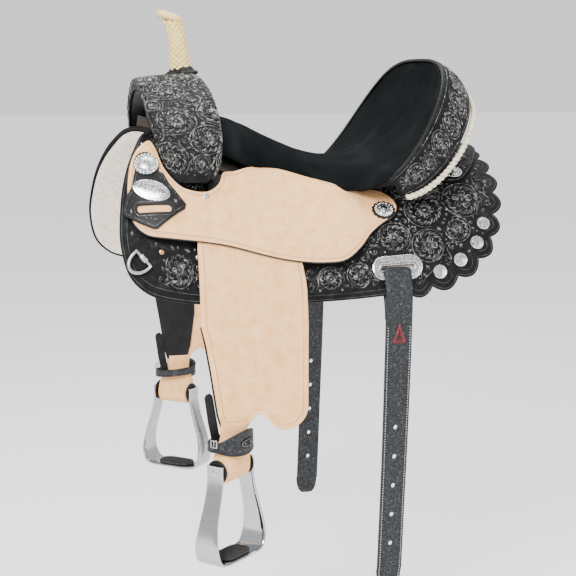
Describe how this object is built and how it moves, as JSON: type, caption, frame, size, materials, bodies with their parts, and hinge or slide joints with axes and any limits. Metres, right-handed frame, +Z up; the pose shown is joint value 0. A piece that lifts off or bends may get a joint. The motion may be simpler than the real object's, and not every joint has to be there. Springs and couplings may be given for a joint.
{
  "type": "western saddle",
  "caption": "Western barrel saddle with tree, horn, padded seat, fleece-lined skirts, fenders that swing and flare, pivoting stirrups, rear billets and breast collar rings.",
  "frame": {"origin": "on the centre plane, at the lowest point of the back line under the seat, where the saddle sits on the horse's back", "axes": "+X towards the cantle and the horse's tail, -X towards the horn, -Y the near (left) side, +Z up"},
  "size_m": [0.5989, 0.6028, 0.8681],
  "materials": {
    "tooled": "black tooled leather with silver antiquing, satin",
    "natural_leather": "natural roughout, matte",
    "black_leather": "black leather, satin",
    "strap_leather": "worn grey-black strap leather, satin",
    "suede": "black suede, matte",
    "fleece_wool": "cream fleece, matte",
    "tree_wood": "tree under its rawhide, matte",
    "rawhide": "braided rawhide, satin",
    "lace_rawhide": "rawhide lacing, satin",
    "silver": "engraved silver, polished",
    "steel": "steel, satin",
    "stirrup_metal": "polished aluminium, polished",
    "tread_rubber": "ribbed rubber, matte"
  },
  "bodies": {
    "root": {"tree_cantle": "tree_wood", "ground_seat": "black_leather", "tree_fork": "black_leather", "seat": "suede", "cantle_binding": "tooled", "swell_cover": "tooled", "rear_jockey": "tooled", "cantle_lacing": "lace_rawhide", "horn_wrap": "rawhide", "horn_core": "steel", "skirt_left": "tooled", "skirt_right": "tooled", "fleece_left": "fleece_wool", "fleece_right": "fleece_wool", "tree_bar_left": "tree_wood", "tree_bar_right": "tree_wood", "seat_jockey_left": "natural_leather", "seat_jockey_right": "natural_leather", "latigo_keeper_left": "black_leather", "latigo_keeper_right": "black_leather", "stirrup_leather_top_left": "black_leather", "stirrup_leather_top_right": "black_leather", "dee_keeper_left": "black_leather", "dee_keeper_right": "black_leather", "keeper_concho_left": "silver", "keeper_concho_right": "silver", "keeper_plate_left": "silver", "keeper_plate_right": "silver", "jockey_concho_left": "silver", "jockey_concho_right": "silver", "rear_concho_left": "silver", "rear_concho_right": "silver", "rear_rigging_plate_left": "silver", "rear_rigging_plate_right": "silver", "front_rigging_plate_left": "steel", "front_rigging_plate_right": "steel", "billet_loop_left": "strap_leather", "billet_loop_right": "strap_leather"},
    "fender_swing_left": {"fender_upper_left": "natural_leather"},
    "fender_drop_left": {"fender_left": "natural_leather", "stirrup_leather_left": "black_leather", "stirrup_roll_left": "natural_leather", "stirrup_bolt_left": "steel", "hobble_strap_left": "strap_leather", "hobble_buckle_left": "steel"},
    "stirrup_body_left": {"stirrup_left": "stirrup_metal", "stirrup_tread_left": "tread_rubber"},
    "billet_strap_left": {"billet_left": "strap_leather"},
    "dee_ring_left": {"breast_dee_left": "silver"},
    "fender_swing_right": {"fender_upper_right": "natural_leather"},
    "fender_drop_right": {"fender_right": "natural_leather", "stirrup_leather_right": "black_leather", "stirrup_roll_right": "natural_leather", "stirrup_bolt_right": "steel", "hobble_strap_right": "strap_leather", "hobble_buckle_right": "steel"},
    "stirrup_body_right": {"stirrup_right": "stirrup_metal", "stirrup_tread_right": "tread_rubber"},
    "billet_strap_right": {"billet_right": "strap_leather"},
    "dee_ring_right": {"breast_dee_right": "silver"}
  },
  "joints": [
    {"name": "fender_fore_aft_left", "type": "hinge", "parent": "root", "child": "fender_swing_left", "pos_m": [-0.1356, -0.2455, -0.15], "axis": [0, 1, 0], "range_deg": [-25, 25]},
    {"name": "fender_out_left", "type": "hinge", "parent": "fender_swing_left", "child": "fender_drop_left", "pos_m": [-0.13, -0.2445, -0.195], "axis": [-1, 0, 0], "range_deg": [0, 45]},
    {"name": "stirrup_pivot_left", "type": "hinge", "parent": "fender_drop_left", "child": "stirrup_body_left", "pos_m": [-0.147, -0.2455, -0.405], "axis": [0.7431, 0.6691, 0], "range_deg": [-60, 60]},
    {"name": "billet_out_left", "type": "hinge", "parent": "root", "child": "billet_strap_left", "pos_m": [0.108, -0.244, -0.204], "axis": [-1, 0, 0], "range_deg": [-10, 75]},
    {"name": "dee_flip_left", "type": "hinge", "parent": "root", "child": "dee_ring_left", "pos_m": [-0.267, -0.23108, -0.09747], "axis": [-0.6482, 0.2066, 0.7329], "range_deg": [0, 150]},
    {"name": "fender_fore_aft_right", "type": "hinge", "parent": "root", "child": "fender_swing_right", "pos_m": [-0.1356, 0.2455, -0.15], "axis": [0, 1, 0], "range_deg": [-25, 25]},
    {"name": "fender_out_right", "type": "hinge", "parent": "fender_swing_right", "child": "fender_drop_right", "pos_m": [-0.13, 0.2445, -0.195], "axis": [1, 0, 0], "range_deg": [0, 45]},
    {"name": "stirrup_pivot_right", "type": "hinge", "parent": "fender_drop_right", "child": "stirrup_body_right", "pos_m": [-0.147, 0.2455, -0.405], "axis": [0.7431, -0.6691, 0], "range_deg": [-60, 60]},
    {"name": "billet_out_right", "type": "hinge", "parent": "root", "child": "billet_strap_right", "pos_m": [0.108, 0.244, -0.204], "axis": [1, 0, 0], "range_deg": [-10, 75]},
    {"name": "dee_flip_right", "type": "hinge", "parent": "root", "child": "dee_ring_right", "pos_m": [-0.267, 0.23108, -0.09747], "axis": [0.6482, 0.2066, -0.7329], "range_deg": [0, 150]}
  ]
}
